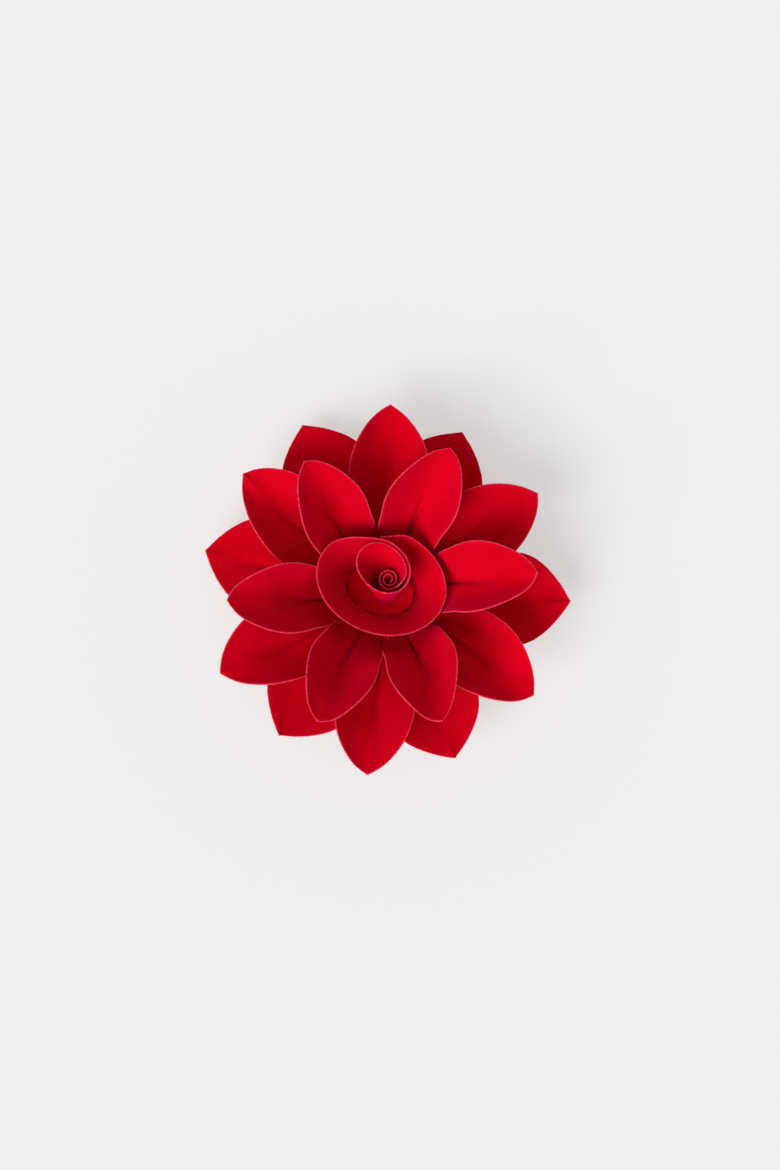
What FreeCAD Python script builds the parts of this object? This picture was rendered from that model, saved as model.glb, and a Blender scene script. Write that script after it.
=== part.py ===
"""Flower hair clip: a layered fabric flower on a sprung alligator clip.

Millimetres, +Z up. The origin is on the underside of the lower jaw, straight below the middle of the flower, and
+Y points to the nose of the clip. The clip lies on its lower jaw. The upper jaw slopes down to the nose, and the
flower sits square on it, so the flower leans by TILT towards +Y.

The flower is three rings of six petals on a felt disc, with a rolled rose in the middle. Each petal is one piece of
cut fabric: a flat wedge of a tab that is glued down, then a cupped blade whose base is pinched into a groove.
"""

import FreeCAD, Part
import math
import os

V = FreeCAD.Vector

# ---- clip ----
JAW_T = 0.7                 # steel sheet
JAW_W = 9.0                 # width of both levers
NOSE_Y = 22.0
TAIL_Y = -39.0
BEND_Y = -29.0              # where the upper lever turns up into its thumb pad
TAIL_RISE = 22.0            # rise of the thumb pad above the horizontal, in degrees
BITE_GAP = 0.12             # between the teeth and the upper jaw
TOOTH = 2.0                 # pitch of the teeth
TOOTH_H = 0.9
TEETH_Y = (2.0, 20.0)
EAR_T = 0.7
EAR_R = 1.9                 # rounded end of an ear, about the pin
OUTER_EAR_X = 3.8           # inside face of the lower jaw's ears
INNER_EAR_X = 2.85          # inside face of the upper jaw's ears
WAIST = 8.0                 # length of the notches beside the upper jaw's ears

# ---- pin and spring ----
PIN_Y = -20.0
PIN_R = 0.8
PIN_PRESS = 0.01            # radial clearance in the upper jaw's ears, where the pin stays put
PIN_RUN = 0.06              # radial clearance in the lower jaw's ears, which turn on it
HEAD_R = 1.35
HEAD_T = 0.45
HEAD_GAP = 0.06
WIRE_R = 0.4
COIL_R = 1.75               # to the middle of the wire
COIL_TURNS = 4
COIL_PITCH = 0.92
COIL_GAP = 0.15             # between the coil and the levers
LEG = 8.5                   # length of the spring's legs

# ---- felt and petals ----
FELT_R = 18.0
FELT_T = 1.5
CLOTH = 0.5                 # thickness of the petal fabric
TAB_T = 1.2                 # folded base of a petal, in layers
GLUE = 0.05                 # between the felt and the first tab
TIER_STEP = 1.3             # from one ring's tabs to the next
PETAL_IN = 2.6              # inner end of a tab, from the middle of the flower
TAB_END = 11.0              # where the tab ends and the blade starts
HALF_CUT = 14.4             # half width of the cut petal at its widest
SHOULDER = 17.0             # from the widest place to the tip
NECK = 1.32                 # 1 widens like a sine from the middle of the flower; more gives a narrower base
TIP_W = 0.35                # half width of the blade at its blunt tip
TIP_CURVE = 2.1             # 1 is a straight-sided tip
RISE_EASE = 4.0             # length over which the blade starts to rise
TAB_EASE = (-2.0, 3.0)      # the tab thins to the blade from the first to the second, past its end
FLANK_FLOOR = 4.5           # half width of the rounded trough between a petal's two sides
GROOVE_IN = 6.0             # the groove deepens over this length from the tab
GROOVE_OUT = (18.0, 38.0)   # and fades between these distances from the middle of the flower
GROOVE_W = (1.6, 0.16)      # its half width at its start, and how much it widens per millimetre
GROOVE_FROM = 14.0          # where it starts to widen
GROOVE_FLOOR = 1.1          # half width of its rounded bottom
ACROSS = (0.07, 0.19, 0.34, 0.52, 0.74, 1.0)    # where the points of a half section lie
PETAL_ROWS = (0, 4, 7, 9, 11, 13, 15, 18, 21, 25, 30, 35, 40, 45, 49, 53, 56, 58, 60)

# Each ring: how much longer a petal is than its reach, which sets how far it rises; how the rise is shared between
# its root, its middle and its tip; greatest slope of the two sides in degrees; steepness of the pinched groove; and
# the distance over which the sides come up.
RINGS = {
    "lower": dict(slack=0.8, rise=(0.3, 1.0, 1.5), side=15.0, groove=14.0, spread=34.0),
    "middle": dict(slack=3.3, rise=(1.25, 1.0, 0.8), side=44.0, groove=30.0, spread=36.0),
    "upper": dict(slack=10.5, rise=(1.1, 1.0, 0.9), side=52.0, groove=56.0, spread=21.0),
}
# Each petal: direction of its base in degrees, reach of its tip, sideways sway of the tip, roll about its own length
# in degrees, and how far its groove lies from its middle line.
PETALS = {
    "lower": [(357, 56.4, 0, 0, 0), (64, 54.0, 0, -2, 0), (116, 56.3, 0, 0, 0), (167, 55.4, 0, 0, 0),
              (234, 53.8, 0, 0, 0), (293, 54.8, 0, 0, 0)],
    "middle": [(33, 54.4, -1.3, 0, 0), (88, 55.6, 0, 4, 0), (146, 54.4, -5.0, -2, 0), (210, 55.2, -2.3, 0, 0),
               (268, 56.3, -3.0, 0, 0), (327, 55.2, -2.7, -3, 0)],
    "upper": [(7, 45.9, -2.2, -4, 0), (69, 45.1, -4.0, 0, 0), (129, 43.6, -4.6, -2, 0), (186, 46.9, 0.2, -5, 1.0),
              (240, 45.5, 3.3, 0, 0), (299, 44.4, -4.8, -8, 0)],
}

# ---- rose in the middle ----
ROSE_T = 0.5
ROSE_W = 3.95               # height of the rose's foot above the felt
ROSE_MID = (-1.0, 1.1)      # middle of the collar's foot
ROSE_TURN = -18.0           # its long way, in degrees from X
FLOOR = (10.2, 7.5)         # half length and half width of the rose floor
COLLAR_FOOT = (11.2, 8.5)
COLLAR_RIM = (19.8, 15.6)
COLLAR_RIM_SHIFT = (0.0, 0.8)
COLLAR_H = 14.0
COLLAR_FLARE = 1.55         # 1 is a straight cone
COLLAR_LIFT = 3.0           # its rim is higher by this much at the end of its long way
COLLAR_ENDS = (91.0, -271.4)    # directions of its outer and inner ends: clockwise, just past a full turn
COLLAR_LAP = 1.1            # from one lapped end of its foot to the other, middle to middle
TUCK_SPAN = (34.0, 55.0)    # degrees over which the outer and the inner end of its rim come in to the bud's rim
TUCK_BEHIND = 0.85          # how far the outer end stays behind the bud's rim
TUCK_GAP = 0.12             # between the inner end and the end of the bud's loop, which it carries on
COLLAR_GRID = (60, 6)
BUD_MID = (0.6, 0.3)
BUD_IN = 0.9                # radius of the innermost turn
CORE_TURNS = 2.0
LOOP_TURNS = 1.42           # the wide loop round the core
LOOP_START = -58.0          # direction in which the core and the loop touch
LOOP_EASE = 0.3             # turns over which the core becomes the loop
BUD_WRAP = 0.85             # radial step of the turns at the foot
BUD_SPREAD = 0.3            # how much more the turns step out at the top
BUD_FLARE = 3.6             # how far the loop opens at the top
BUD_CURVE = 1.4             # 1 is a straight funnel
LOOP_OVAL = 0.11            # how much longer and narrower than round its rim is
LOOP_OVAL_TURN = 138.0      # direction of its long way
BUD_H = 16.0
CORE_DROP = 5.0             # how much lower the core ends
BUD_LEAN = (0.9, 2.8)       # how far the top of the core leans from the foot
LOOP_SHIFT = (-1.9, 3.1)    # how much further the loop leans
BUD_GRID = (24, 4)          # steps per turn and up the strip

PIN_Z = JAW_T + COIL_GAP + COIL_R + WIRE_R
UPPER_Z = PIN_Z + COIL_R + WIRE_R + COIL_GAP      # underside of the upper jaw above the pin
SLOPE = (UPPER_Z - JAW_T - BITE_GAP) / (NOSE_Y - PIN_Y)
TILT = math.degrees(math.atan(SLOPE))


def underside(y):
    """Height of the upper jaw's underside."""
    return UPPER_Z - (y - PIN_Y) * SLOPE


SEAT = V(0, 0, underside(0) + JAW_T / math.cos(math.radians(TILT)))
LEAN = FreeCAD.Rotation(V(1, 0, 0), -TILT)
ON_JAW = FreeCAD.Placement(SEAT, LEAN)
ON_FELT = ON_JAW.multiply(FreeCAD.Placement(V(0, 0, FELT_T), FreeCAD.Rotation()))


def save(shape, name):
    solids = shape.Solids
    if len(solids) != 1 or not shape.isValid() or shape.Volume <= 0:
        print("check", name, "solids", len(solids), "valid", shape.isValid(), "volume", shape.Volume)
    solids[0].exportStep(os.path.join("parts", name + ".step"))


def smooth(x):
    x = max(0.0, min(1.0, x))
    return x * x * (3 - 2 * x)


# ---------------------------------------------------------------- clip


def side_plate(points, x, thickness):
    """A flat plate from an outline of (y, z) points, standing at x and thickness wide along X."""
    corners = [V(x, y, z) for y, z in points]
    return Part.Face(Part.makePolygon(corners + corners[:1])).extrude(V(thickness, 0, 0))


def along_x(radius, x0, x1, y=PIN_Y, z=PIN_Z):
    return Part.makeCylinder(radius, x1 - x0, V(x0, y, z), V(1, 0, 0))


def rounded_strip():
    """Outline of both levers from above, with round ends."""
    r = JAW_W / 2
    body = Part.makeBox(JAW_W, NOSE_Y - TAIL_Y - JAW_W, 60, V(-r, TAIL_Y + r, -20))
    nose = Part.makeCylinder(r, 60, V(0, NOSE_Y - r, -20))
    tail = Part.makeCylinder(r, 60, V(0, TAIL_Y + r, -20))
    return body.fuse([nose, tail]).removeSplitter()


def teeth():
    """Saw teeth along one edge of the lower jaw, as (y, z) points."""
    y, end = TEETH_Y
    points = [(end, JAW_T / 2), (y, JAW_T / 2)]
    while y < end - TOOTH / 2:
        for at, drop in ((y, TOOTH_H), (y + TOOTH / 2, 0.0)):
            points.append((at, max(JAW_T, underside(at) - BITE_GAP - drop)))
        y += TOOTH
    points.append((end, JAW_T))
    return points


def lower_jaw():
    jaw = side_plate([(TAIL_Y, 0), (NOSE_Y, 0), (NOSE_Y, JAW_T), (TAIL_Y, JAW_T)], -JAW_W / 2, JAW_W)
    ear = [(PIN_Y - EAR_R, JAW_T / 2), (PIN_Y + EAR_R, JAW_T / 2), (PIN_Y + EAR_R, PIN_Z), (PIN_Y - EAR_R, PIN_Z)]
    for x in (OUTER_EAR_X, -OUTER_EAR_X - EAR_T):
        jaw = jaw.fuse([side_plate(ear, x, EAR_T), along_x(EAR_R, x, x + EAR_T), side_plate(teeth(), x, EAR_T)])
    jaw = jaw.common(rounded_strip())
    return jaw.cut(along_x(PIN_R + PIN_RUN, -JAW_W, JAW_W)).removeSplitter()


def upper_jaw():
    bend = (BEND_Y, underside(BEND_Y))
    rise = math.tan(math.radians(TAIL_RISE))
    tail = (TAIL_Y, bend[1] + (BEND_Y - TAIL_Y) * rise)
    flat_up = JAW_T / math.cos(math.radians(TILT))
    tail_up = JAW_T / math.cos(math.radians(TAIL_RISE))
    inner_bend = BEND_Y - (tail_up - flat_up) / (rise - SLOPE)
    lever = [
        (NOSE_Y, underside(NOSE_Y)),
        (NOSE_Y, underside(NOSE_Y) + flat_up),
        (inner_bend, underside(inner_bend) + flat_up),
        (TAIL_Y, tail[1] + tail_up),
        tail,
        bend,
    ]
    jaw = side_plate(lever, -JAW_W / 2, JAW_W).common(rounded_strip())
    for x in (INNER_EAR_X + EAR_T, -JAW_W):
        notch = Part.makeBox(JAW_W - INNER_EAR_X - EAR_T, WAIST, 20, V(x, PIN_Y - WAIST / 2, 0))
        jaw = jaw.cut(notch)
    front, back = PIN_Y + EAR_R, PIN_Y - EAR_R
    ear = [(back, PIN_Z), (front, PIN_Z), (front, underside(front) + JAW_T / 2), (back, underside(back) + JAW_T / 2)]
    for x in (INNER_EAR_X, -INNER_EAR_X - EAR_T):
        jaw = jaw.fuse([side_plate(ear, x, EAR_T), along_x(EAR_R, x, x + EAR_T)])
    return jaw.cut(along_x(PIN_R + PIN_PRESS, -JAW_W, JAW_W)).removeSplitter()


def hinge_pin():
    end = JAW_W / 2 + HEAD_GAP
    pin = along_x(PIN_R, -end, end)
    return pin.fuse([along_x(HEAD_R, end, end + HEAD_T), along_x(HEAD_R, -end - HEAD_T, -end)]).removeSplitter()


def torsion_spring():
    """Coil about the pin. One leg lies along the lower tail, the other under the upper one."""
    turns = COIL_TURNS + (180 - TILT) / 360
    length = COIL_PITCH * turns
    helix = Part.makeHelix(COIL_PITCH, length, COIL_R)
    helix.rotate(V(0, 0, 0), V(0, 1, 0), 90)
    helix.translate(V(-length / 2, PIN_Y, PIN_Z))
    start = V(-length / 2, PIN_Y, PIN_Z - COIL_R)
    tilt = math.radians(TILT)
    end = V(length / 2, PIN_Y + COIL_R * math.sin(tilt), PIN_Z + COIL_R * math.cos(tilt))
    edge = helix.Edges[0]
    heading = edge.tangentAt(edge.FirstParameter)
    profile = Part.Wire(Part.makeCircle(WIRE_R, start, heading))
    coil = Part.Wire(helix.Edges).makePipeShell([profile], True, True)
    lower_leg = Part.makeCylinder(WIRE_R, LEG, start, V(0, -1, 0))
    upper_leg = Part.makeCylinder(WIRE_R, LEG, end, V(0, -math.cos(tilt), math.sin(tilt)))
    knees = [Part.makeSphere(WIRE_R, start), Part.makeSphere(WIRE_R, end)]
    return coil.fuse([lower_leg, upper_leg] + knees)


# ---------------------------------------------------------------- cut cloth


def smooth_surface(rows):
    """Cubic surface with a grid of points as its poles, so it follows them and never waves outside them."""
    knots, mults = [], []
    for count in (len(rows), len(rows[0])):
        spans = count - 3
        knots.append(list(range(spans + 1)))
        mults.append([4] + [1] * (spans - 1) + [4])
    surface = Part.BSplineSurface()
    surface.buildFromPolesMultsKnots(rows, mults[0], mults[1], knots[0], knots[1], False, False, 3, 3)
    return surface


def cloth_solid(under, over):
    """Solid between two grids of points, closed along its four cut edges."""
    low, high = smooth_surface(under), smooth_surface(over)
    faces = [low.toShape(), high.toShape()]
    u0, u1, v0, v1 = low.bounds()
    for u in (u0, u1):
        faces.append(Part.makeRuledSurface(low.uIso(u).toShape(), high.uIso(u).toShape(), 1))
    for v in (v0, v1):
        faces.append(Part.makeRuledSurface(low.vIso(v).toShape(), high.vIso(v).toShape(), 1))
    shell = Part.Shell(faces)
    shell.sewShape()
    solid = Part.Solid(shell)
    if solid.Volume < 0:
        solid.reverse()
    return solid


# ---------------------------------------------------------------- petals


def rise_at(s, end, shares, size):
    """Rise of a petal's middle line, in radians, at the distance s along it."""
    u = (s - TAB_END) / (end - TAB_END)
    if u <= 0:
        return 0.0
    root, half, tip = shares
    share = root + (half - root) * min(1.0, 2 * u) + (tip - half) * max(0.0, 2 * u - 1)
    return size * share * smooth((s - TAB_END) / RISE_EASE)


def middle_line(end, shares, size, steps=60):
    """Points (s, x, z, angle) along a petal's middle line, from its tab to its tip."""
    line = [(PETAL_IN, PETAL_IN, 0.0, 0.0)]
    ds = (end - PETAL_IN) / steps
    for _ in range(steps):
        s, x, z, _ = line[-1]
        angle = rise_at(s + ds / 2, end, shares, size)
        at = s + ds
        line.append((at, x + ds * math.cos(angle), z + ds * math.sin(angle), rise_at(at, end, shares, size)))
    return line


def line_to(ring, reach):
    """The middle line whose tip is at the distance reach from the middle of the flower."""
    end = reach + ring["slack"]
    flat, steep = 0.0, 1.2
    for _ in range(30):
        size = (flat + steep) / 2
        if middle_line(end, ring["rise"], size)[-1][1] > reach:
            flat = size
        else:
            steep = size
    return middle_line(end, ring["rise"], size)


def half_width(s, end):
    widest = end - SHOULDER
    if s < widest:
        return HALF_CUT * math.sin(math.pi / 2 * (s / widest) ** NECK)
    return max(TIP_W, HALF_CUT * (1 - ((s - widest) / SHOULDER) ** TIP_CURVE))


def side_slope(a, s, ring, roll):
    """Slope of a petal across its length, in radians, at the flat distance a from its groove."""
    open_up = smooth((s - TAB_END) / ring["spread"])
    flank = math.radians(ring["side"] + roll) * open_up * (1 - math.exp(-((a / FLANK_FLOOR) ** 2)))
    fade = (s - GROOVE_OUT[0]) / (GROOVE_OUT[1] - GROOVE_OUT[0])
    pinch = smooth((s - TAB_END) / GROOVE_IN) * (1 - smooth(fade))
    width = GROOVE_W[0] + GROOVE_W[1] * max(0.0, s - GROOVE_FROM)
    steep = math.radians(ring["groove"]) * pinch
    return flank + steep * math.exp(-((a / width) ** 2)) * (1 - math.exp(-((a / GROOVE_FLOOR) ** 2)))


def section(s, ring, roll, fold, half, fine=8):
    """Points (y, h, slope) across a petal from its right cut edge to its left one."""
    sides = {}
    for side in (1, -1):
        start = fold * min(1.0, half / HALF_CUT)
        y, h, a = start, 0.0, 0.0
        reach = half - side * start
        row = [(y, h, 0.0)]
        for part in ACROSS:
            step = (part * reach - a) / fine
            for _ in range(fine):
                slope = side_slope(a + step / 2, s, ring, roll * side)
                y += side * step * math.cos(slope)
                h += step * math.sin(slope)
                a += step
            row.append((y, h, side * side_slope(a, s, ring, roll * side)))
        sides[side] = row
    return list(reversed(sides[-1]))[:-1] + sides[1]


def petal_grids(ring, reach, sway, roll, fold):
    """Points on the petal's underside and upper side, with its base along X."""
    line = line_to(ring, reach)
    end = line[-1][0]
    under, over = [], []
    for i in PETAL_ROWS:
        s, x, z, angle = line[i]
        half = half_width(s, end)
        thick = TAB_T + (CLOTH - TAB_T) * smooth((s - TAB_END - TAB_EASE[0]) / (TAB_EASE[1] - TAB_EASE[0]))
        drift = sway * ((s - PETAL_IN) / (end - PETAL_IN)) ** 2
        normal = V(-math.sin(angle), 0, math.cos(angle))
        low, high = [], []
        for y, h, slope in section(s, ring, roll, fold, half):
            point = V(x, drift + y, z) + normal * h
            out = normal * math.cos(slope) - V(0, math.sin(slope), 0)
            low.append(point)
            high.append(point + out * thick)
        under.append(low)
        over.append(high)
    return under, over


def petal(ring, azimuth, reach, sway, roll, fold, level):
    blade = cloth_solid(*petal_grids(ring, reach, sway, roll, fold))
    place = FreeCAD.Placement(V(0, 0, level), FreeCAD.Rotation(V(0, 0, 1), azimuth))
    blade.Placement = ON_FELT.multiply(place)
    return blade


# ---------------------------------------------------------------- rose


def thicken(rows, thickness):
    """The two sides of a strip whose middle surface is a grid of points."""
    under, over = [], []
    last_row, last_col = len(rows) - 1, len(rows[0]) - 1
    for i, row in enumerate(rows):
        low, high = [], []
        for j, point in enumerate(row):
            along = rows[min(i + 1, last_row)][j] - rows[max(i - 1, 0)][j]
            across = row[min(j + 1, last_col)] - row[max(j - 1, 0)]
            normal = along.cross(across).normalize()
            low.append(point - normal * (thickness / 2))
            high.append(point + normal * (thickness / 2))
        under.append(low)
        over.append(high)
    return under, over


def oval(half, angle, offset=0.0):
    """Point of an oval that lies ROSE_TURN round, at an angle in degrees from X."""
    turn = math.radians(ROSE_TURN)
    t = math.radians(angle) - turn
    x, y = (half[0] + offset) * math.cos(t), (half[1] + offset) * math.sin(t)
    return V(x * math.cos(turn) - y * math.sin(turn), x * math.sin(turn) + y * math.cos(turn), 0)


def bud_point(turns, v):
    """Point of the bud's strip: turns from its inner end, and v from 0 at the foot to 1 at the rim."""
    angle = math.radians(LOOP_START + 360 * (turns - CORE_TURNS))
    loop = smooth((turns - CORE_TURNS) / LOOP_EASE + 0.5)
    bend = v ** BUD_CURVE
    stretch = 1 + LOOP_OVAL * loop * bend * math.cos(2 * (angle - math.radians(LOOP_OVAL_TURN)))
    radius = (BUD_IN + BUD_WRAP * turns + (BUD_SPREAD * turns + BUD_FLARE * loop) * bend) * stretch
    lean = (V(*BUD_LEAN, 0) + V(*LOOP_SHIFT, 0) * loop) * bend
    height = (BUD_H - CORE_DROP * (1 - loop)) * v
    at = V(*BUD_MID, ROSE_W + ROSE_T + GLUE + height) + lean
    return at + V(radius * math.cos(angle), radius * math.sin(angle), 0)


def collar_rim(angle, offset):
    return V(*ROSE_MID, 0) + V(*COLLAR_RIM_SHIFT, 0) + oval(COLLAR_RIM, angle, offset)


def collar():
    """One strip, wrapped once round as a flared oval cup. Its inner end carries on the rim of the bud's loop, and its
    outer end is tucked behind that."""
    count, levels = COLLAR_GRID
    outer_end, inner_end = COLLAR_ENDS
    bud_end = bud_point(CORE_TURNS + LOOP_TURNS, 1) - V(TUCK_GAP, 0, 0)
    behind = V(bud_end.x, bud_end.y + TUCK_BEHIND, 0)
    rows = []
    for i in range(count + 1):
        t = i / count
        angle = outer_end + (inner_end - outer_end) * t
        offset = COLLAR_LAP * (0.5 - t)
        height = COLLAR_H + COLLAR_LIFT * math.cos(math.radians(angle - ROSE_TURN - 180))
        foot = V(*ROSE_MID, 0) + oval(COLLAR_FOOT, angle, offset)
        rim = collar_rim(angle, offset)
        rim += (behind - collar_rim(outer_end, COLLAR_LAP / 2)) * smooth(1 - (outer_end - angle) / TUCK_SPAN[0])
        join = smooth(1 - (angle - inner_end) / TUCK_SPAN[1])
        rim += (V(bud_end.x, bud_end.y, 0) - collar_rim(inner_end, -COLLAR_LAP / 2)) * join
        height += (bud_end.z - ROSE_W - height) * join
        row = []
        for j in range(levels + 1):
            v = j / levels
            row.append(foot + (rim - foot) * v ** COLLAR_FLARE + V(0, 0, ROSE_W + height * v))
        rows.append(row)
    strip = cloth_solid(*thicken(rows, ROSE_T))
    strip.Placement = ON_FELT
    return strip


def bud():
    """One strip rolled up on the rose floor: a tight core, and a wide loop that touches it on one side."""
    per_turn, levels = BUD_GRID
    all_turns = CORE_TURNS + LOOP_TURNS
    count = int(all_turns * per_turn)
    rows = [[bud_point(all_turns * i / count, j / levels) for j in range(levels + 1)] for i in range(count + 1)]
    roll = cloth_solid(*thicken(rows, ROSE_T))
    roll.Placement = ON_FELT
    return roll


def rose_floor():
    disc = Part.Face(Part.Wire(Part.Ellipse(V(0, 0, 0), *FLOOR).toShape())).extrude(V(0, 0, ROSE_T))
    turn = FreeCAD.Rotation(V(0, 0, 1), ROSE_TURN)
    disc.Placement = ON_FELT.multiply(FreeCAD.Placement(V(*ROSE_MID, ROSE_W), turn))
    return disc


def felt_backing():
    disc = Part.makeCylinder(FELT_R, FELT_T)
    disc.Placement = ON_JAW
    return disc


if __name__ == "__main__":
    os.makedirs("parts", exist_ok=True)
    for make in (lower_jaw, upper_jaw, hinge_pin, torsion_spring, felt_backing, rose_floor, collar, bud):
        save(make(), make.__name__)
    for tier, (name, ring) in enumerate(RINGS.items()):
        for i, petal_values in enumerate(PETALS[name]):
            save(petal(ring, *petal_values, GLUE + tier * TIER_STEP), f"{name}_petal_{i + 1}")
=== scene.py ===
"""Flower hair clip: petals, rose, felt and spring in detail, on the steel levers of the frame."""

import bpy
import math
import numpy as np
from mathutils import Matrix, Vector


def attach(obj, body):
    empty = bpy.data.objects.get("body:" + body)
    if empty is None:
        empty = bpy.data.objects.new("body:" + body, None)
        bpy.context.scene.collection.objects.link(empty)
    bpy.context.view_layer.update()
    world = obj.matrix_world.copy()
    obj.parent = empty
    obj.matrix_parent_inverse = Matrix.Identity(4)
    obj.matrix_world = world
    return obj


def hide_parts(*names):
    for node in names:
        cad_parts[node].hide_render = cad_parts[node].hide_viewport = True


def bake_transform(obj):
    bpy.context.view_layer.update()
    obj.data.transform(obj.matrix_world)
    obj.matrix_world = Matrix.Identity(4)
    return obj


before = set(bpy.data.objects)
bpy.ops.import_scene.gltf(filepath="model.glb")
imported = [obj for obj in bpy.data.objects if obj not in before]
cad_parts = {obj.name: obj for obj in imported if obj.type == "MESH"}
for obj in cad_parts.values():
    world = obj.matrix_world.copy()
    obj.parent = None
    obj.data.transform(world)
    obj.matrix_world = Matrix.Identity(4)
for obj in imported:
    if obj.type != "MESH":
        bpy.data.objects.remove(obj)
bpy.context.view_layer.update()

MM = 0.001
rng = np.random.default_rng(12)

# ---------------------------------------------------------------- sizes, in millimetres, as the frame has them

AT_PIN, AT_NOSE = (-20.0, 5.3), (22.0, 0.82)    # y and z of two points of the upper jaw's underside
JAW_T = 0.7
PIN_Y, PIN_Z = -20.0, 3.0
WIRE_R, COIL_R, COIL_TURNS, COIL_PITCH, LEG = 0.4, 1.75, 4, 0.92, 8.5
FELT_R, FELT_T = 18.0, 1.5
GLUE, TIER_STEP = 0.05, 1.3
PETAL_IN, TAB_END = 2.6, 11.0
HALF_CUT, SHOULDER, NECK, TIP_W = 14.4, 17.0, 1.32, 0.12
CLOTH = 0.44                # thickness of the fabric
CAD_CLOTH = 0.5             # the room that the frame leaves for it
HAND_WORK = 0.22            # how far a hand-shaped petal strays from its formula
PLEAT_ROOM = 4.5            # how much wider, a side, a pleated petal's cut may be
PETAL_GRID, BUD_GRID, COLLAR_GRID = (130, 26), (440, 26), (320, 26)
FRAY = 0.05                 # how far loose threads stand out of a cut edge
EDGE_BULGE = 0.35           # how far the middle of a cut edge stands out, as a share of half the thickness
IN_EDGE = -0.1              # the distance from a cut edge that marks the points in the edge itself
DISC_RAGGED = 0.004         # unevenness of a disc's outline, as a share of its radius
# slack: how much longer a petal is than its reach. rise: shares of the slope at root, half way and tip.
# side, groove: slopes in degrees of the flank and of the rounded groove. spread: distance over which a petal opens.
# pleat: slope in degrees, half width, and the distances at which it starts and ends to fade
RINGS = {
    "lower": dict(slack=0.8, rise=(0.3, 1.0, 1.5), side=15.0, groove=14.0, spread=34.0,
                  pleat=(64.0, 2.8, 28.0, 54.0)),
    "middle": dict(slack=3.3, rise=(1.25, 1.0, 0.8), side=44.0, groove=30.0, spread=36.0,
                   pleat=(80.0, 3.4, 30.0, 53.0)),
    "upper": dict(slack=10.5, rise=(1.1, 1.0, 0.9), side=52.0, groove=56.0, spread=21.0,
                  pleat=(84.0, 3.9, 23.0, 46.0)),
}
# direction of the base, reach, sideways sway of the tip, roll in degrees, groove off the middle line
PETALS = {
    "lower": [(357, 56.4, 0, 0, 0), (64, 54.0, 0, -2, 0), (116, 56.3, 0, 0, 0), (167, 55.4, 0, 0, 0),
              (234, 53.8, 0, 0, 0), (293, 54.8, 0, 0, 0)],
    "middle": [(33, 54.4, -1.3, 0, 0), (88, 55.6, 0, 4, 0), (146, 54.4, -5.0, -2, 0), (210, 55.2, -2.3, 0, 0),
               (268, 56.3, -3.0, 0, 0), (327, 55.2, -2.7, -3, 0)],
    "upper": [(7, 45.9, -2.2, -4, 0), (69, 45.1, -4.0, 0, 0), (129, 43.6, -4.6, -2, 0), (186, 46.9, 0.2, -5, 1.0),
              (240, 45.5, 3.3, 0, 0), (299, 44.4, -4.8, -8, 0)],
}
ROSE_W = 3.95
ROSE_MID = (-1.0, 1.1)
ROSE_TURN = -18.0
FLOOR = (10.2, 7.5)
COLLAR_FOOT, COLLAR_RIM, COLLAR_RIM_SHIFT = (11.2, 8.5), (19.8, 15.6), (0.0, 0.8)
COLLAR_H, COLLAR_FLARE, COLLAR_LIFT = 14.0, 1.55, 3.0
COLLAR_ENDS, COLLAR_LAP = (91.0, -271.4), 1.1
TUCK_SPAN, TUCK_BEHIND, TUCK_GAP = (34.0, 55.0), 0.85, 0.05
BUD_MID, BUD_IN = (0.6, 0.3), 0.9
CORE_TURNS, LOOP_TURNS, LOOP_START, LOOP_EASE = 2.0, 1.42, -58.0, 0.3
BUD_WRAP, BUD_SPREAD, BUD_FLARE, BUD_CURVE = 0.85, 0.3, 3.6, 1.4
LOOP_OVAL, LOOP_OVAL_TURN = 0.11, 138.0
BUD_H, CORE_DROP, BUD_LEAN, LOOP_SHIFT = 16.0, 5.0, (0.9, 2.8), (-1.9, 3.1)

SLOPE = (AT_PIN[1] - AT_NOSE[1]) / (AT_NOSE[0] - AT_PIN[0])
TILT = math.atan(SLOPE)
SEAT_Z = AT_PIN[1] + PIN_Y * SLOPE + JAW_T / math.cos(TILT)
FLOWER = Matrix.Translation((0, 0, SEAT_Z)) @ Matrix.Rotation(-TILT, 4, "X")
ON_FELT = FLOWER @ Matrix.Translation((0, 0, FELT_T))


# ---------------------------------------------------------------- helpers


def smooth(x):
    x = np.clip(x, 0.0, 1.0)
    return x * x * (3 - 2 * x)


def placed(points, matrix):
    """Points in millimetres, moved by a matrix."""
    m = np.array(matrix)
    return points @ m[:3, :3].T + m[:3, 3]


def wobble(count, size, smoothing):
    """Small smooth random numbers, as many as count, for an edge cut by hand."""
    raw = rng.normal(size=count + 2 * smoothing)
    kernel = np.hanning(smoothing * 2 + 1)
    soft = np.convolve(raw, kernel / np.sqrt((kernel ** 2).sum()), "valid")
    return soft[:count] * size


def soft_noise(shape, cells, size):
    """A smooth random field over a grid: cells across each way, size in millimetres."""
    field = np.zeros(shape)
    u = np.linspace(0, 1, shape[0])[:, None]
    v = np.linspace(0, 1, shape[1])[None, :]
    for _ in range(cells * 2):
        ku, kv = rng.uniform(-cells, cells, 2)
        field += np.cos(2 * np.pi * (ku * u + kv * v) + rng.uniform(0, 2 * np.pi))
    return field * size / math.sqrt(cells * 2)


def normals_of(grid):
    along = np.gradient(grid, axis=0)
    across = np.gradient(grid, axis=1)
    n = np.cross(along, across)
    return n / np.maximum(np.linalg.norm(n, axis=2, keepdims=True), 1e-9)


def new_object(name, data):
    obj = bpy.data.objects.new(name, data)
    bpy.context.scene.collection.objects.link(obj)
    return obj


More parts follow.
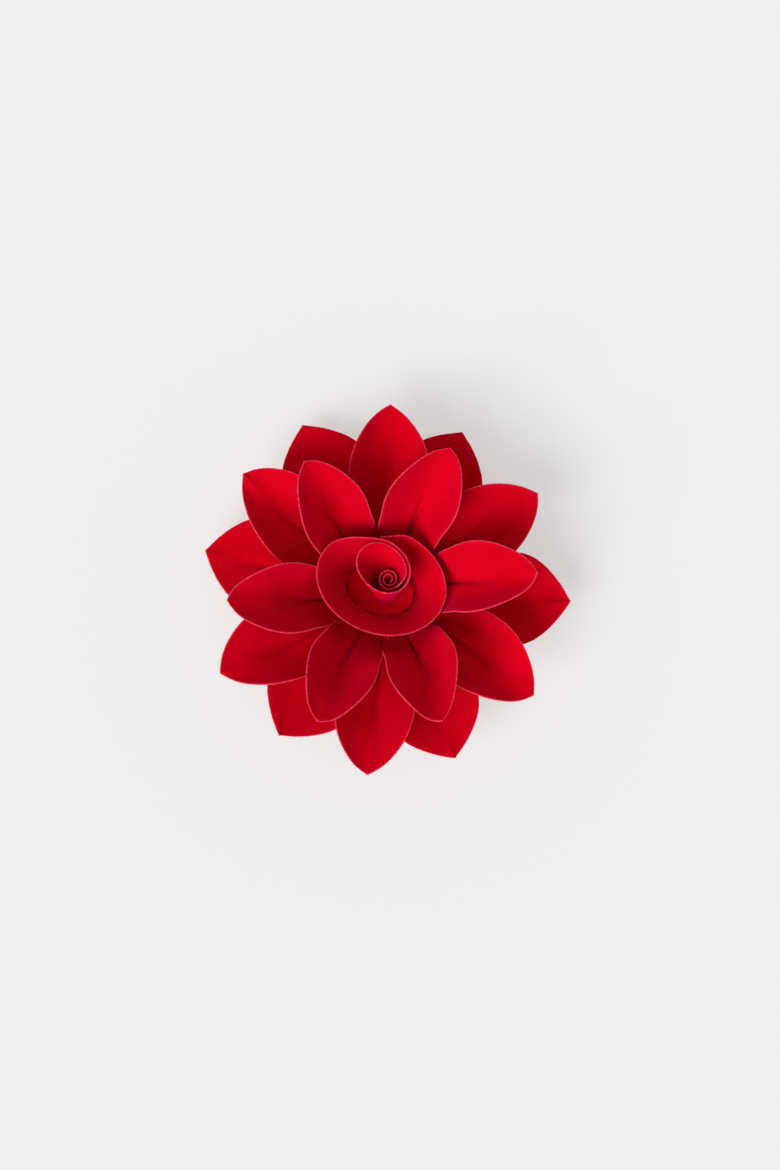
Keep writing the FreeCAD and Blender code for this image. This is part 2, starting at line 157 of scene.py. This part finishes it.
def new_mesh(name, points, faces):
    """A smooth-shaded mesh from points in millimetres."""
    mesh = bpy.data.meshes.new(name)
    mesh.from_pydata((points * MM).tolist(), [], faces)
    mesh.validate()
    mesh.polygons.foreach_set("use_smooth", np.ones(len(mesh.polygons), bool))
    return mesh


def write_place(mesh, values):
    """Gives each point its place on the flat cloth and its distance from a cut edge, for the materials."""
    mesh.attributes.new("cloth", "FLOAT_VECTOR", "POINT").data.foreach_set("vector", values.astype(np.float32).ravel())


def cloth_mesh(name, grid, cut):
    """A sheet of cloth round a grid of points in millimetres. cut holds each point's place on the flat cloth.

    The four borders get a cut edge of their own: a narrow rounded strip with loose threads."""
    rows, cols = grid.shape[:2]
    half = CLOTH / 2
    ring = border_ring(rows, cols)
    flat = grid.reshape(-1, 3)
    n = normals_of(grid).reshape(-1, 3)
    over, under = flat + n * half, flat - n * half
    middle = flat[ring]
    nxt, prev = np.roll(middle, -1, 0), np.roll(middle, 1, 0)
    out = np.cross(nxt - prev, n[ring])
    out /= np.maximum(np.linalg.norm(out, axis=1, keepdims=True), 1e-9)
    inside = flat.mean(0) - middle
    sign = np.sign(np.median((out * inside).sum(1)))
    threads = np.abs(rng.normal(size=len(ring))) * FRAY
    middle = middle - sign * out * (half * EDGE_BULGE + threads[:, None])
    count = rows * cols
    idx = np.arange(count).reshape(rows, cols)
    a, b, c, d = idx[:-1, :-1], idx[1:, :-1], idx[1:, 1:], idx[:-1, 1:]
    top = np.stack([a, b, c, d], -1).reshape(-1, 4)
    bottom = np.stack([a, d, c, b], -1).reshape(-1, 4) + count
    r0, r1 = ring, np.roll(ring, -1)
    m0 = np.arange(len(ring)) + 2 * count
    m1 = np.roll(m0, -1)
    upper_edge = np.stack([r0, r1, m1, m0], -1)
    lower_edge = np.stack([m0, m1, r1 + count, r0 + count], -1)
    faces = np.vstack([top, bottom, upper_edge, lower_edge])
    mesh = new_mesh(name, np.vstack([over, under, middle]), faces.tolist())
    slots = np.zeros(len(mesh.polygons), np.int32)
    slots[len(top) + len(bottom):] = 1
    mesh.polygons.foreach_set("material_index", slots)
    place = np.dstack([cut, edge_distance(grid)]).reshape(-1, 3)
    ring_place = place[ring]
    ring_place[:, 2] = IN_EDGE
    write_place(mesh, np.vstack([place, place, ring_place]))
    return new_object(name, mesh)


def border_ring(rows, cols):
    """Indices round the border of a grid, in order."""
    idx = np.arange(rows * cols).reshape(rows, cols)
    return np.concatenate([idx[0, :-1], idx[:-1, -1], idx[-1, :0:-1], idx[:0:-1, 0]])


def edge_distance(grid):
    """How far each point of a grid is from the nearest cut edge, in millimetres along the cloth."""
    step = np.linalg.norm(np.diff(grid, axis=1), axis=2)
    run = np.concatenate([np.zeros((grid.shape[0], 1)), np.cumsum(step, 1)], 1)
    from_sides = np.minimum(run, run[:, -1:] - run)
    step = np.linalg.norm(np.diff(grid, axis=0), axis=2)
    run = np.concatenate([np.zeros((1, grid.shape[1])), np.cumsum(step, 0)], 0)
    return np.minimum(from_sides, run[-1:] - run)


# ---------------------------------------------------------------- materials


def material(name):
    mat = bpy.data.materials.new(name)
    mat.use_nodes = True
    tree = mat.node_tree
    tree.nodes.clear()
    out = tree.nodes.new("ShaderNodeOutputMaterial")
    shader = tree.nodes.new("ShaderNodeBsdfPrincipled")
    tree.links.new(shader.outputs[0], out.inputs[0])
    return mat, tree, shader


def feed(tree, node, inputs):
    """Sets each input of a node to a value, or links it to a socket."""
    for key, value in inputs.items():
        if hasattr(value, "links"):
            tree.links.new(value, node.inputs[key])
        else:
            node.inputs[key].default_value = value


def add(tree, kind, inputs=None, **settings):
    """A node with its settings and its inputs."""
    node = tree.nodes.new(kind)
    for key, value in settings.items():
        setattr(node, key, value)
    feed(tree, node, inputs or {})
    return node


def maths(tree, operation, a, b=0.0, clamp=False):
    return add(tree, "ShaderNodeMath", {0: a, 1: b}, operation=operation, use_clamp=clamp).outputs[0]


def mix_color(tree, factor, a, b):
    node = add(tree, "ShaderNodeMix", {0: factor, 6: a, 7: b}, data_type="RGBA")
    return node.outputs[2]


def ramp(tree, value, stops):
    node = add(tree, "ShaderNodeValToRGB", {0: value})
    elements = node.color_ramp.elements
    while len(elements) < len(stops):
        elements.new(0.5)
    for element, (at, color) in zip(elements, stops):
        element.position = at
        element.color = color
    return node.outputs[0]


def grey(v):
    return (v, v, v, 1)


RED = (0.62, 0.0, 0.011, 1)
RED_DEEP = (0.55, 0.0, 0.007, 1)
RED_THREAD = (0.74, 0.002, 0.03, 1)
# Paler red along the petals' cut edges: frayed threads, and a painted highlight where light catches the cut.
RED_FRAY_AND_HIGHLIGHT = (0.80, 0.02, 0.07, 1)


def cloth_place(tree):
    """The flat cloth's own coordinates in millimetres, and the distance from its cut edge."""
    place = add(tree, "ShaderNodeAttribute", attribute_name="cloth").outputs["Vector"]
    split = add(tree, "ShaderNodeSeparateXYZ", {0: place})
    return place, split.outputs[0], split.outputs[1], split.outputs[2]


def weave(tree, across, along, pitch):
    """Plain weave: threads that pass over and under each other, as a height from 0 to 1."""
    turn = 2 * math.pi / pitch
    warp = maths(tree, "SINE", maths(tree, "MULTIPLY", across, turn))
    weft = maths(tree, "SINE", maths(tree, "MULTIPLY", along, turn))
    both = maths(tree, "MULTIPLY", warp, weft)
    return maths(tree, "MULTIPLY_ADD", both, 0.5)


def fabric(name, base, deep, thread, cut):
    mat, tree, shader = material(name)
    place, across, along, edge = cloth_place(tree)
    grain = add(tree, "ShaderNodeTexNoise", {"Vector": place, "Scale": 3.2, "Detail": 2.0, "Roughness": 0.6})
    slubs = add(tree, "ShaderNodeMapping", {"Vector": place, "Scale": (0.35, 2.6, 1.0)})
    slub = add(tree, "ShaderNodeTexNoise", {"Vector": slubs.outputs[0], "Scale": 1.0, "Detail": 2.0})
    cloud = add(tree, "ShaderNodeTexNoise", {"Vector": place, "Scale": 0.09, "Detail": 3.0})
    threads = weave(tree, across, along, 0.9)
    body = mix_color(tree, ramp(tree, cloud.outputs[0], [(0.35, grey(0)), (0.7, grey(1))]), base, deep)
    speck = ramp(tree, grain.outputs[0], [(0.50, grey(0)), (0.80, grey(0.55))])
    body = mix_color(tree, speck, body, thread)
    # A ragged band along each cut edge is mixed to the paler cut colour: frayed threads, and a painted highlight where
    # light catches the cut.
    band_width_noise = maths(tree, "MULTIPLY", slub.outputs[0], 0.5)
    inside_fray_and_highlight = maths(tree, "SUBTRACT", maths(tree, "MULTIPLY", band_width_noise, 0.8), edge)
    rim = maths(tree, "MULTIPLY", inside_fray_and_highlight, 5.0, clamp=True)
    height = maths(tree, "ADD", maths(tree, "MULTIPLY", threads, 0.5), grain.outputs[0])
    height = maths(tree, "ADD", height, maths(tree, "MULTIPLY", slub.outputs[0], 0.6))
    bump = add(tree, "ShaderNodeBump", {"Height": height, "Strength": 0.35, "Distance": 0.00012})
    rough = ramp(tree, grain.outputs[0], [(0.3, grey(0.82)), (0.8, grey(0.97))])
    feed(tree, shader, {"Base Color": mix_color(tree, rim, body, cut), "Normal": bump.outputs[0],
                        "Roughness": rough, "Specular IOR Level": 0.01, "Sheen Weight": 0.2,
                        "Sheen Roughness": 0.5, "Sheen Tint": (1.0, 0.0, 0.26, 1)})
    return mat


def cut_edge(name, color, light):
    """The raw edge of the cloth: paler broken threads, and a painted highlight where light catches the cut."""
    mat, tree, shader = material(name)
    place = cloth_place(tree)[0]
    fray = add(tree, "ShaderNodeTexNoise", {"Vector": place, "Scale": 1.6, "Detail": 4.0, "Roughness": 0.7})
    tone = ramp(tree, fray.outputs[0], [(0.38, color), (0.62, light)])
    bump = add(tree, "ShaderNodeBump", {"Height": fray.outputs[0], "Strength": 0.6, "Distance": 0.00015})
    feed(tree, shader, {"Base Color": tone, "Normal": bump.outputs[0], "Roughness": 0.95,
                        "Specular IOR Level": 0.1, "Sheen Weight": 0.35, "Sheen Tint": (1.0, 0.45, 0.5, 1)})
    return mat


def felt(name):
    mat, tree, shader = material(name)
    where = add(tree, "ShaderNodeTexCoord").outputs["Object"]
    fibre = add(tree, "ShaderNodeTexNoise", {"Vector": where, "Scale": 1800.0, "Detail": 5.0, "Distortion": 1.5})
    cloud = add(tree, "ShaderNodeTexNoise", {"Vector": where, "Scale": 220.0, "Detail": 3.0})
    tone = ramp(tree, fibre.outputs[0], [(0.3, (0.22, 0.002, 0.012, 1)), (0.72, (0.46, 0.012, 0.04, 1))])
    tone = mix_color(tree, maths(tree, "MULTIPLY", cloud.outputs[0], 0.35), tone, (0.30, 0.002, 0.016, 1))
    height = maths(tree, "ADD", fibre.outputs[0], cloud.outputs[0])
    bump = add(tree, "ShaderNodeBump", {"Height": height, "Strength": 0.8, "Distance": 0.0003})
    feed(tree, shader, {"Base Color": tone, "Normal": bump.outputs[0], "Roughness": 0.95,
                        "Specular IOR Level": 0.1, "Sheen Weight": 0.4, "Sheen Tint": (1.0, 0.4, 0.45, 1)})
    return mat


def steel(name, tone, rough, along_y=True):
    """Nickel-plated sheet: fine drawn lines along the strip, faint scratches and finger dulling."""
    mat, tree, shader = material(name)
    where = add(tree, "ShaderNodeTexCoord").outputs["Object"]
    stretch = (5200.0, 120.0, 5200.0) if along_y else (900.0, 900.0, 900.0)
    lines = add(tree, "ShaderNodeMapping", {"Vector": where, "Scale": stretch})
    drawn = add(tree, "ShaderNodeTexNoise", {"Vector": lines.outputs[0], "Scale": 1.0, "Detail": 3.0})
    smear = add(tree, "ShaderNodeTexNoise", {"Vector": where, "Scale": 160.0, "Detail": 4.0, "Distortion": 0.8})
    color = ramp(tree, smear.outputs[0], [(0.3, tone), (0.75, tuple(0.86 * c for c in tone[:3]) + (1,))])
    spread = ramp(tree, smear.outputs[0], [(0.35, grey(rough)), (0.75, grey(rough + 0.14))])
    streak = maths(tree, "MULTIPLY", maths(tree, "SUBTRACT", drawn.outputs[0], 0.5), 0.25)
    uneven = maths(tree, "ADD", spread, streak, clamp=True)
    bump = add(tree, "ShaderNodeBump", {"Height": drawn.outputs[0], "Strength": 0.25, "Distance": 0.00004})
    feed(tree, shader, {"Base Color": color, "Roughness": uneven, "Normal": bump.outputs[0], "Metallic": 1.0})
    return mat


FABRIC = fabric("petal_cloth", RED, RED_DEEP, RED_THREAD, RED_FRAY_AND_HIGHLIGHT)
# The edge faces are painted paler: frayed threads, and a painted highlight where light catches the cut.
EDGE = cut_edge("petal_cut_edge", (0.56, 0.002, 0.022, 1), (0.84, 0.05, 0.11, 1))
FELT = felt("backing_felt")
STEEL = steel("lever_steel", (0.66, 0.66, 0.67, 1), 0.26)
RIVET = steel("pin_steel", (0.72, 0.71, 0.69, 1), 0.2, along_y=False)
SPRING = steel("spring_wire", (0.55, 0.55, 0.57, 1), 0.22, along_y=False)


def dress(obj, *materials):
    for mat in materials:
        obj.data.materials.append(mat)


def stand_for(obj, node):
    """Puts an object on the fixed body, in place of a node of the frame."""
    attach(obj, "root")
    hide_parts(node)


# ---------------------------------------------------------------- petals


def rise_at(s, end, shares, size):
    """Rise of a petal's middle line, in radians, at the distance s along it."""
    u = np.maximum((s - TAB_END) / (end - TAB_END), 0.0)
    root, half, tip = shares
    share = root + (half - root) * np.minimum(1.0, 2 * u) + (tip - half) * np.maximum(0.0, 2 * u - 1)
    return size * share * smooth((s - TAB_END) / 4.0)


def middle_line(stations, shares, size):
    """x, z and rise along a petal's middle line, at the distances in stations."""
    end = stations[-1]
    fine = np.linspace(PETAL_IN, end, 600)
    mid = (fine[1:] + fine[:-1]) / 2
    angle = rise_at(mid, end, shares, size)
    step = np.diff(fine)
    x = np.concatenate([[PETAL_IN], PETAL_IN + np.cumsum(step * np.cos(angle))])
    z = np.concatenate([[0.0], np.cumsum(step * np.sin(angle))])
    return np.interp(stations, fine, x), np.interp(stations, fine, z), rise_at(stations, end, shares, size)


def line_to(ring, reach, stations):
    """The middle line whose tip is at the distance reach from the middle of the flower."""
    flat, steep = 0.0, 1.2
    for _ in range(30):
        size = (flat + steep) / 2
        if middle_line(stations, ring["rise"], size)[0][-1] > reach:
            flat = size
        else:
            steep = size
    return middle_line(stations, ring["rise"], size)


def half_width(s, end):
    widest = end - SHOULDER
    neck = HALF_CUT * np.sin(math.pi / 2 * np.minimum(s / widest, 1.0) ** NECK)
    tip = HALF_CUT * (1 - np.maximum((s - widest) / SHOULDER, 0.0) ** 2.1)
    return np.where(s < widest, neck, np.maximum(TIP_W, tip))


def side_slope(a, s, ring, roll, pleated):
    """Slope of a petal across its length, in radians, at the flat distance a from its groove.

    The frame's petals have a rounded groove. The real cloth is pleated there: a narrow fold with steep sides."""
    open_up = smooth((s - TAB_END) / ring["spread"])
    flank = np.radians(ring["side"] + roll) * open_up * (1 - np.exp(-((a / 4.5) ** 2)))
    if pleated:
        steep, width, start, end = ring["pleat"]
        fade = 1 - smooth((s - start) / (end - start))
        wide = width * (0.75 + 0.25 * smooth((s - start) / 14.0))
        floor = 0.22 + 0.045 * np.maximum(0.0, s - 17.0)
        fold = np.exp(-((a / wide) ** 4)) * (1 - np.exp(-((a / floor) ** 2)))
        return flank + (np.radians(steep) - flank) * fade * smooth((s - TAB_END) / 5.0) * fold
    pinch = smooth((s - TAB_END) / 6.0) * (1 - smooth((s - 18.0) / 20.0))
    width = 1.6 + 0.16 * np.maximum(0.0, s - 14.0)
    steep = math.radians(ring["groove"]) * pinch
    return flank + steep * np.exp(-((a / width) ** 2)) * (1 - np.exp(-((a / 1.1) ** 2)))


def half_section(far, stations, ring, roll, pleated, count=260):
    """Flat distance, sideways distance and height from the groove to a cut edge, row by row."""
    a = far[:, None] * np.linspace(0, 1, count) ** 1.25
    slope = side_slope((a[:, 1:] + a[:, :-1]) / 2, stations[:, None], ring, roll, pleated)
    step = np.diff(a, axis=1)
    zero = np.zeros((len(far), 1))
    y = np.concatenate([zero, np.cumsum(step * np.cos(slope), 1)], 1)
    h = np.concatenate([zero, np.cumsum(step * np.sin(slope), 1)], 1)
    return a, y, h


def row_interp(x, known_x, known_y):
    """np.interp, row by row."""
    return np.array([np.interp(*row) for row in zip(x, known_x, known_y)])


def petal_surface(ring, reach, sway, roll, fold, rows, cols):
    """Grid of points on the underside of a petal, and their places on the flat cut.

    The pleated section keeps the outline and the mean edge height of the frame's rounded one, so its flat cut is
    wider than the frame's."""
    end = reach + ring["slack"]
    stations = PETAL_IN + (end - PETAL_IN) * (1 - (1 - np.linspace(0, 1, rows)) ** 1.25)
    x, z, angle = line_to(ring, reach, stations)
    half = half_width(stations, end)
    drift = sway * ((stations - PETAL_IN) / (end - PETAL_IN)) ** 2
    start = fold * np.minimum(1.0, half / HALF_CUT)
    normal = np.stack([-np.sin(angle), np.zeros(rows), np.cos(angle)], 1)
    parts, drops = {}, []
    for side in (1, -1):
        far = half - side * start
        _, y_plain, h_plain = half_section(far, stations, ring, roll * side, False)
        a, y, h = half_section(far + PLEAT_ROOM, stations, ring, roll * side, True)
        ends = row_interp(y_plain[:, -1:], y, a)[:, 0]
        parts[side] = (a, y, h, ends)
        drops.append(h_plain[:, -1] - row_interp(ends[:, None], a, h)[:, 0])
    drop = (drops[0] + drops[1]) / 2
    sides = {}
    for side in (1, -1):
        a, y, h, ends = parts[side]
        at = ends[:, None] * np.linspace(0, 1, cols) ** 1.35
        y, h = row_interp(at, a, y), row_interp(at, a, h)
        sides[side] = (start[:, None] + side * y, h + drop[:, None], start[:, None] + side * at)
    across, height, flat = (np.concatenate([sides[-1][k][:, :0:-1], sides[1][k]], 1) for k in range(3))
    grid = np.stack([x[:, None] + normal[:, :1] * height, drift[:, None] + across,
                     z[:, None] + normal[:, 2:] * height], 2)
    cut = np.stack([flat, np.repeat(stations[:, None], flat.shape[1], 1)], 2)
    return grid, cut


def petal(tier, name, index):
    ring = RINGS[name]
    azimuth, reach, sway, roll, fold = PETALS[name][index]
    grid, cut = petal_surface(ring, reach, sway, roll, fold, *PETAL_GRID)
    normals = normals_of(grid)
    if np.median(normals[:, :, 2]) < 0:
        normals = -normals
    free = smooth((cut[:, :, 1] - TAB_END - 4) / 20.0)
    hand = soft_noise(grid.shape[:2], 2, HAND_WORK) * free
    grid = grid + normals * (CAD_CLOTH / 2 + hand)[:, :, None]
    level = GLUE + tier * TIER_STEP
    place = ON_FELT @ Matrix.Translation((0, 0, level)) @ Matrix.Rotation(math.radians(azimuth), 4, "Z")
    cut = cut + np.array([100.0 * index, 70.0 * tier])
    node = f"{name}_petal_{index + 1}"
    obj = cloth_mesh(node + "_cloth", placed(grid, place), cut)
    dress(obj, FABRIC, EDGE)
    stand_for(obj, node)


# ---------------------------------------------------------------- rose


def oval(half, angle, offset):
    """Points of an oval that lies ROSE_TURN round, at angles in degrees from X."""
    turn = math.radians(ROSE_TURN)
    t = np.radians(angle) - turn
    x, y = (half[0] + offset) * np.cos(t), (half[1] + offset) * np.sin(t)
    return np.stack([x * math.cos(turn) - y * math.sin(turn), x * math.sin(turn) + y * math.cos(turn)], -1)


def strip_sizes(grid):
    """Length of a strip along its middle and its greatest height, in millimetres."""
    middle = grid[:, grid.shape[1] // 2]
    length = np.linalg.norm(np.diff(middle, axis=0), axis=1).sum()
    height = np.linalg.norm(np.diff(grid, axis=1), axis=2).sum(1).max()
    return float(length), float(height)


def bud_grid(turns, v):
    """Points of the bud's strip: turns from its inner end, and v from 0 at the foot to 1 at the rim."""
    turns, v = turns[:, None], v[None, :]
    angle = np.radians(LOOP_START + 360 * (turns - CORE_TURNS))
    loop = smooth((turns - CORE_TURNS) / LOOP_EASE + 0.5)
    bend = v ** BUD_CURVE
    stretch = 1 + LOOP_OVAL * loop * bend * np.cos(2 * (angle - math.radians(LOOP_OVAL_TURN)))
    radius = (BUD_IN + BUD_WRAP * turns + (BUD_SPREAD * turns + BUD_FLARE * loop) * bend) * stretch
    height = (BUD_H - CORE_DROP * (1 - loop)) * v
    x = BUD_MID[0] + (BUD_LEAN[0] + LOOP_SHIFT[0] * loop) * bend + radius * np.cos(angle)
    y = BUD_MID[1] + (BUD_LEAN[1] + LOOP_SHIFT[1] * loop) * bend + radius * np.sin(angle)
    return np.stack([x, y, ROSE_W + CAD_CLOTH + GLUE + height], 2)


def bud():
    turns = (CORE_TURNS + LOOP_TURNS) * np.linspace(0, 1, BUD_GRID[0])
    finish_strip("bud", bud_grid(turns, np.linspace(0, 1, BUD_GRID[1])))


def collar():
    """The outer wrap. Its outer end tucks behind the rim, and its inner end carries on the bud's loop."""
    t = np.linspace(0, 1, COLLAR_GRID[0])
    outer_end, inner_end = COLLAR_ENDS
    bud_end = bud_grid(np.array([CORE_TURNS + LOOP_TURNS]), np.array([1.0]))[0, 0] - (TUCK_GAP, 0, 0)
    angle = outer_end + (inner_end - outer_end) * t
    offset = COLLAR_LAP * (0.5 - t)
    height = COLLAR_H + COLLAR_LIFT * np.cos(np.radians(angle - ROSE_TURN - 180))
    foot = np.array(ROSE_MID) + oval(COLLAR_FOOT, angle, offset)
    rim = np.array(ROSE_MID) + np.array(COLLAR_RIM_SHIFT) + oval(COLLAR_RIM, angle, offset)
    behind = bud_end[:2] + (0, TUCK_BEHIND)
    tuck = smooth(1 - (outer_end - angle) / TUCK_SPAN[0])[:, None]
    join = smooth(1 - (angle - inner_end) / TUCK_SPAN[1])[:, None]
    rim = rim + (behind - rim[0]) * tuck + (bud_end[:2] - rim[-1]) * join
    height = height + (bud_end[2] - ROSE_W - height) * join[:, 0]
    v = np.linspace(0, 1, COLLAR_GRID[1])
    flat = foot[:, None] + (rim - foot)[:, None] * (v ** COLLAR_FLARE)[None, :, None]
    w = ROSE_W + height[:, None] * v[None, :]
    finish_strip("collar", np.concatenate([flat, w[:, :, None]], 2))


def finish_strip(node, grid):
    length, height = strip_sizes(grid)
    along = np.linspace(0, length, grid.shape[0])
    up = np.linspace(0, height, grid.shape[1])
    cut = np.stack(np.meshgrid(along, up, indexing="ij"), 2) + np.array([0.0, 400.0])
    obj = cloth_mesh(node + "_cloth", placed(grid, ON_FELT), cut)
    dress(obj, FABRIC, EDGE)
    stand_for(obj, node)


def disc(half, thickness, round_r, surface_noise):
    """Points and faces of an oval disc with rounded edges on z = 0, in millimetres.

    The points lie in rings, from the middle of the top to the middle of the bottom."""
    around, steps = 220, 6
    bend = np.linspace(0, math.pi / 2, steps)
    inner = np.linspace(0.03, 1, 16)[:-1]
    rim = 1 - round_r / min(half)
    r_top = np.concatenate([inner * rim, rim + (1 - rim) * np.sin(bend)])
    z_top = np.concatenate([np.full(len(inner), thickness), thickness - round_r * (1 - np.cos(bend))])
    r = np.concatenate([r_top, r_top[::-1]])
    z = np.concatenate([z_top, thickness - z_top[::-1]])
    angle = np.linspace(0, 2 * math.pi, around, endpoint=False)
    ragged = 1 + wobble(around, DISC_RAGGED, 3)
    x = half[0] * r[:, None] * np.cos(angle) * ragged
    y = half[1] * r[:, None] * np.sin(angle) * ragged
    level = z[:, None] + rng.normal(size=x.shape) * surface_noise
    grid = np.stack([x, y, np.clip(level, 0.0, None)], 2)
    rows = len(r)
    idx = np.arange(rows * around).reshape(rows, around)
    nxt = np.roll(idx, -1, 1)
    faces = np.stack([idx[:-1], idx[1:], nxt[1:], nxt[:-1]], -1).reshape(-1, 4).tolist()
    faces += [idx[0].tolist(), idx[-1][::-1].tolist()]
    return grid.reshape(-1, 3), faces


def felt_backing():
    points, faces = disc((FELT_R, FELT_R), FELT_T, 0.35, 0.02)
    obj = new_object("felt_disc", new_mesh("felt_disc", placed(points, FLOWER), faces))
    dress(obj, FELT)
    stand_for(obj, "felt_backing")


def rose_floor():
    points, faces = disc(FLOOR, CAD_CLOTH, 0.12, 0.01)
    seat = ON_FELT @ Matrix.Translation((*ROSE_MID, ROSE_W)) @ Matrix.Rotation(math.radians(ROSE_TURN), 4, "Z")
    mesh = new_mesh("rose_floor_cloth", placed(points, seat), faces)
    write_place(mesh, np.column_stack([points[:, :2] + 300.0, np.full(len(points), 5.0)]))
    obj = new_object("rose_floor_cloth", mesh)
    dress(obj, FABRIC)
    stand_for(obj, "rose_floor")


# ---------------------------------------------------------------- spring


def torsion_spring():
    """Round wire: a leg on the lower tail, a coil about the pin, and a leg under the upper tail."""
    turns = COIL_TURNS + (math.pi - TILT) / (2 * math.pi)
    length = COIL_PITCH * turns
    theta = np.linspace(0, 2 * math.pi * turns, 40 * COIL_TURNS + 20)
    coil = np.stack([-length / 2 + COIL_PITCH * theta / (2 * math.pi), PIN_Y + COIL_R * np.sin(theta),
                     PIN_Z - COIL_R * np.cos(theta)], 1)
    away = np.linspace(LEG, 0, 14)[:-1]
    lower = coil[0] + away[:, None] * np.array([0, -1, 0])
    upper = coil[-1] + away[::-1][:, None] * np.array([0, -math.cos(TILT), math.sin(TILT)])
    line = np.vstack([lower, coil, upper])
    tangent = np.gradient(line, axis=0)
    tangent /= np.linalg.norm(tangent, axis=1, keepdims=True)
    side = np.cross(tangent, [1.0, 0, 0])
    side /= np.linalg.norm(side, axis=1, keepdims=True)
    other = np.cross(tangent, side)
    round_steps = 16
    angle = np.linspace(0, 2 * math.pi, round_steps, endpoint=False)
    ring = line[:, None] + WIRE_R * (np.cos(angle)[:, None] * side[:, None] + np.sin(angle)[:, None] * other[:, None])
    chamfer, narrower = 0.06, 0.8
    cap0 = line[0] - tangent[0] * chamfer + (ring[0] - line[0]) * narrower
    cap1 = line[-1] + tangent[-1] * chamfer + (ring[-1] - line[-1]) * narrower
    ring = np.concatenate([cap0[None], ring, cap1[None]])
    rows = len(ring)
    idx = np.arange(rows * round_steps).reshape(rows, round_steps)
    nxt = np.roll(idx, -1, 1)
    faces = np.stack([idx[:-1], nxt[:-1], nxt[1:], idx[1:]], -1).reshape(-1, 4).tolist()
    faces += [idx[0][::-1].tolist(), idx[-1].tolist()]
    obj = new_object("spring_wire_coil", new_mesh("spring_wire_coil", ring.reshape(-1, 3), faces))
    dress(obj, SPRING)
    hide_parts("torsion_spring")
    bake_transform(obj)


# ---------------------------------------------------------------- build

for tier_index, ring_name in enumerate(RINGS):
    for petal_index in range(len(PETALS[ring_name])):
        petal(tier_index, ring_name, petal_index)
collar()
bud()
rose_floor()
felt_backing()
torsion_spring()

for node, mat in (("upper_jaw", STEEL), ("lower_jaw", STEEL), ("hinge_pin", RIVET)):
    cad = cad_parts[node]
    for material_slot in cad.material_slots:
        material_slot.material = mat

# ---------------------------------------------------------------- floor, light and camera


FLOOR_HALF = 4.0                                # metres
# The floor's glow is painted light: it lightens the shadows on the floor and lights the flower from below.
FLOOR_TONE, FLOOR_GLOW = (0.34, 0.342, 0.346, 1), 0.5
SKY_STRENGTH = 0.5
KEY_ENERGY, KEY_SPREAD, KEY_FROM = 2.6, 40.0, (-0.55, -0.55, 0.8)
VIEW_MIDDLE, VIEW_HEIGHT = (1.83, 3.0), 356.85  # millimetres of the floor's plane that the picture shows
CAMERA_UP = 1.5                                 # metres


def studio():
    """A pale floor whose glow is painted light that lightens the shadows on it, an even white sky and one broad light
    from the lower left.
    """
    mesh = bpy.data.meshes.new("floor")
    corners = [(x * FLOOR_HALF, y * FLOOR_HALF, 0) for x, y in ((-1, -1), (1, -1), (1, 1), (-1, 1))]
    mesh.from_pydata(corners, [], [(0, 1, 2, 3)])
    floor = new_object("floor", mesh)
    mat, tree, shader = material("pale_floor")
    feed(tree, shader, {"Base Color": FLOOR_TONE, "Roughness": 0.9, "Specular IOR Level": 0.0,
                        "Emission Color": (1, 1, 1, 1), "Emission Strength": FLOOR_GLOW})
    dress(floor, mat)
    world = bpy.data.worlds.new("studio")
    world.use_nodes = True
    background = world.node_tree.nodes["Background"]
    background.inputs[0].default_value = (1, 1, 1, 1)
    background.inputs[1].default_value = SKY_STRENGTH
    bpy.context.scene.world = world
    light = bpy.data.lights.new("key", "SUN")
    light.energy = KEY_ENERGY
    light.angle = math.radians(KEY_SPREAD)
    new_object("key", light).rotation_euler = Vector(KEY_FROM).to_track_quat("Z", "Y").to_euler()


def camera():
    """Straight above the flower, with a long lens."""
    data = bpy.data.cameras.new("camera")
    data.sensor_fit = "VERTICAL"
    data.sensor_height = 24.0
    data.lens = data.sensor_height * CAMERA_UP / (VIEW_HEIGHT * MM)
    data.clip_end = 20
    obj = new_object("camera", data)
    obj.location = (VIEW_MIDDLE[0] * MM, VIEW_MIDDLE[1] * MM, CAMERA_UP)
    bpy.context.scene.camera = obj


studio()
camera()
bpy.context.scene.view_settings.view_transform = "Standard"
